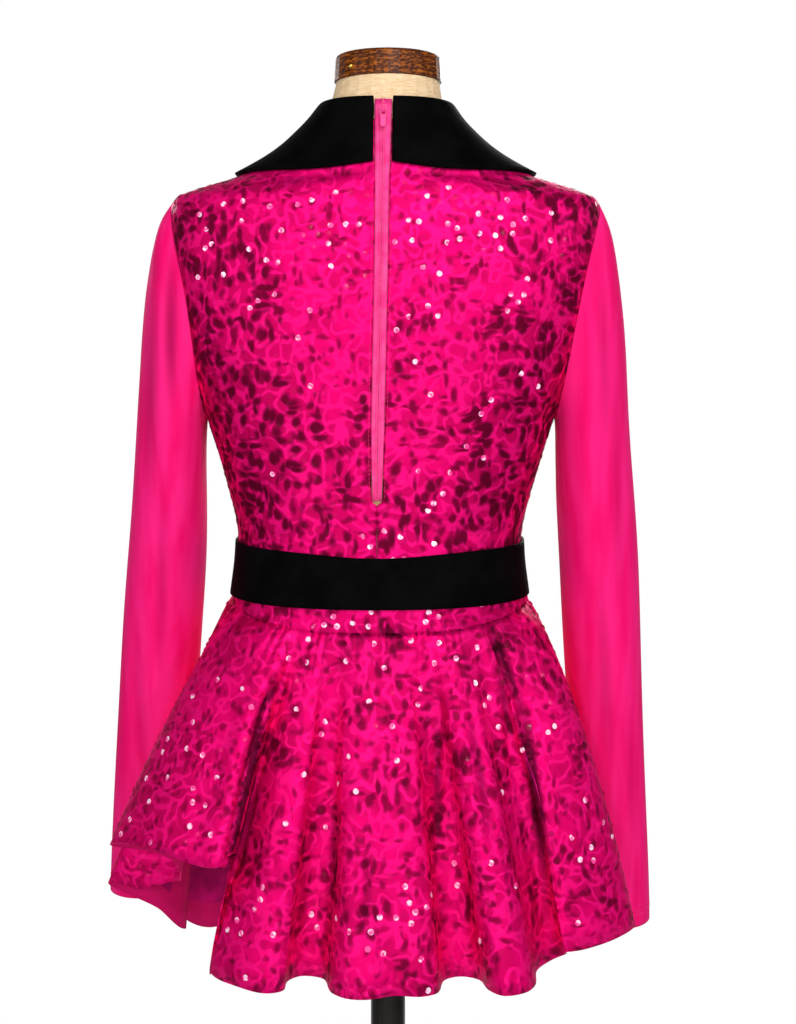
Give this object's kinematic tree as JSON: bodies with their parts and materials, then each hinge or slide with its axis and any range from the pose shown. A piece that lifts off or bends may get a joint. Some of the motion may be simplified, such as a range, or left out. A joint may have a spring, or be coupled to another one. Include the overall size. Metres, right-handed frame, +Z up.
{
  "type": "sequinned jazz dance bodysuit on a limbless dress form",
  "caption": "Hot-pink sequinned dance bodysuit with black collar and belt, sheer sleeves, back zip and flared skirt, worn by a limbless dress form on a pole and round base.",
  "frame": {"origin": "centre of the stand base's underside, on the floor", "axes": "+Z up, +Y the wearer's front, +X the wearer's right"},
  "size_m": [0.5006, 0.38, 1.494],
  "materials": {
    "sequin": "hot-pink foil knit sewn all over with small round sequins",
    "mesh": "plain sheer stretch mesh",
    "black": "matt black stretch cloth",
    "zip": "pink woven tape with a nylon coil",
    "pull": "pink enamel",
    "linen": "cream woven cover",
    "wood": "dark varnish",
    "brass": "polished",
    "metal": "glossy dark enamel"
  },
  "bodies": {
    "root": {"form_torso": "linen", "form_cap": "wood", "cap_pin": "brass", "stand_pole": "metal", "stand_base": "metal", "bodice_back_left": "sequin", "bodice_back_right": "sequin", "bodice_front": "sequin", "brief_back": "sequin", "brief_front": "sequin", "sleeve_left": "mesh", "sleeve_right": "mesh", "collar_left": "black", "collar_right": "black", "belt": "black", "skirt_yoke": "sequin", "skirt_back": "sequin", "skirt_front": "sequin", "zip_tape_left": "zip", "zip_tape_right": "zip", "zip_slider": "pull"},
    "pull": {"zip_pull": "pull"}
  },
  "joints": [
    {"name": "zip_pull", "type": "hinge", "parent": "root", "child": "pull", "pos_m": [-0.00361, -0.06716, 1.43228], "axis": [-1, 0, 0], "range_deg": [0, 150]}
  ]
}
